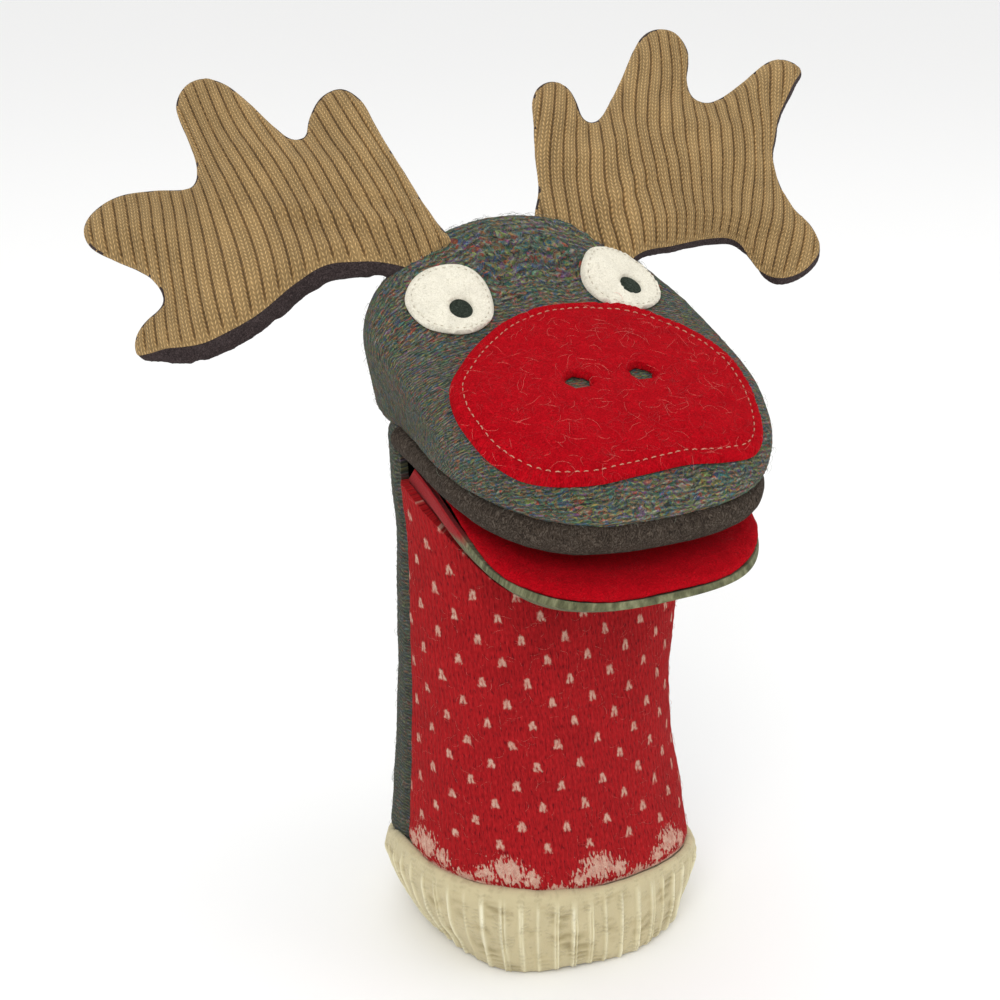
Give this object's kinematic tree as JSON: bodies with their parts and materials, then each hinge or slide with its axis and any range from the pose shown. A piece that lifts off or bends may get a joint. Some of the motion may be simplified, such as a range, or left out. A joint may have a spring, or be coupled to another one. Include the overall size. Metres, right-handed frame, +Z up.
{
  "type": "hand puppet",
  "caption": "Moose hand puppet of felted knit: ribbed cuff, red sleeve, opening mouth, nose patch, felt eyes and stuffed antlers.",
  "frame": {"origin": "middle of the whole puppet's footprint box, on the plane that the cuff stands on; the cuff's opening is centred 4 mm to the -X side and 16 mm in front of it", "axes": "+Z up the sleeve, -Y the way the puppet faces, +X the puppet's own left"},
  "size_m": [0.247, 0.1798, 0.28],
  "materials": {
    "cream_rib": "ribbed wool knit",
    "red_knit": "felted knit with cream flecks",
    "charcoal_knit": "felted knit",
    "heather_knit": "felted heather knit",
    "brown_felt": "fuzzy felt",
    "red_felt": "fuzzy felt",
    "olive_knit": "felted heather knit",
    "ivory_felt": "smooth felt",
    "black_felt": "felt",
    "cream_thread": "sewing thread",
    "camel_rib": "ribbed wool knit",
    "dark_felt": "felt",
    "buckram": "stiffened cloth",
    "wadding": "loose fibre"
  },
  "bodies": {
    "sleeve": {"cuff_band": "cream_rib", "front_panel_lower": "red_knit", "back_panel_lower": "charcoal_knit"},
    "waist": {"front_panel_middle": "red_knit", "back_panel_middle": "charcoal_knit"},
    "neck": {"front_panel_upper": "red_knit", "back_panel_upper": "charcoal_knit"},
    "head": {"head_top_panel": "heather_knit", "upper_mouth_lining": "brown_felt", "upper_mouth_stiffener": "buckram", "nose_patch": "red_felt", "nose_topstitch": "cream_thread", "eye_white_left": "ivory_felt", "eye_white_right": "ivory_felt", "pupil_left": "black_felt", "pupil_right": "black_felt", "eye_stitching_left": "cream_thread", "eye_stitching_right": "cream_thread"},
    "lower_jaw": {"lower_mouth_lining": "red_felt", "lower_mouth_stiffener": "buckram", "jaw_underside_panel": "olive_knit"},
    "antler_left": {"antler_front_left": "camel_rib", "antler_back_left": "dark_felt", "antler_stuffing_left": "wadding"},
    "antler_right": {"antler_front_right": "camel_rib", "antler_back_right": "dark_felt", "antler_stuffing_right": "wadding"}
  },
  "joints": [
    {"name": "neck_turn", "type": "hinge", "parent": "sleeve", "child": "waist", "pos_m": [-0.00437, -0.01324, 0.054], "axis": [0, 0, 1], "range_deg": [-25, 25], "stiffness_Nm_per_rad": 0.8},
    {"name": "neck_tilt", "type": "hinge", "parent": "waist", "child": "neck", "pos_m": [-0.00437, -0.01224, 0.08], "axis": [0, 1, 0], "range_deg": [-12, 12], "stiffness_Nm_per_rad": 2, "deforming": ["front_panel_middle", "back_panel_middle", "front_panel_upper", "back_panel_upper"]},
    {"name": "neck_nod", "type": "hinge", "parent": "neck", "child": "head", "pos_m": [-0.00437, -0.01074, 0.15], "axis": [-1, 0, 0], "range_deg": [-20, 25], "stiffness_Nm_per_rad": 2, "deforming": ["front_panel_upper", "back_panel_upper"]},
    {"name": "jaw_open", "type": "hinge", "parent": "head", "child": "lower_jaw", "pos_m": [-0.00437, -0.01374, 0.1652], "axis": [1, 0, 0], "range_deg": [-6, 30], "stiffness_Nm_per_rad": 0.6, "deforming": ["front_panel_upper", "back_panel_upper"]},
    {"name": "antler_left_flop", "type": "hinge", "parent": "head", "child": "antler_left", "pos_m": [0.02713, 0.01101, 0.22075], "axis": [0.8234, -0.4558, -0.3382], "range_deg": [-20, 35], "stiffness_Nm_per_rad": 0.4},
    {"name": "antler_right_flop", "type": "hinge", "parent": "head", "child": "antler_right", "pos_m": [-0.03612, 0.01251, 0.22125], "axis": [0.8118, 0.1751, 0.5571], "range_deg": [-20, 35], "stiffness_Nm_per_rad": 0.4}
  ]
}
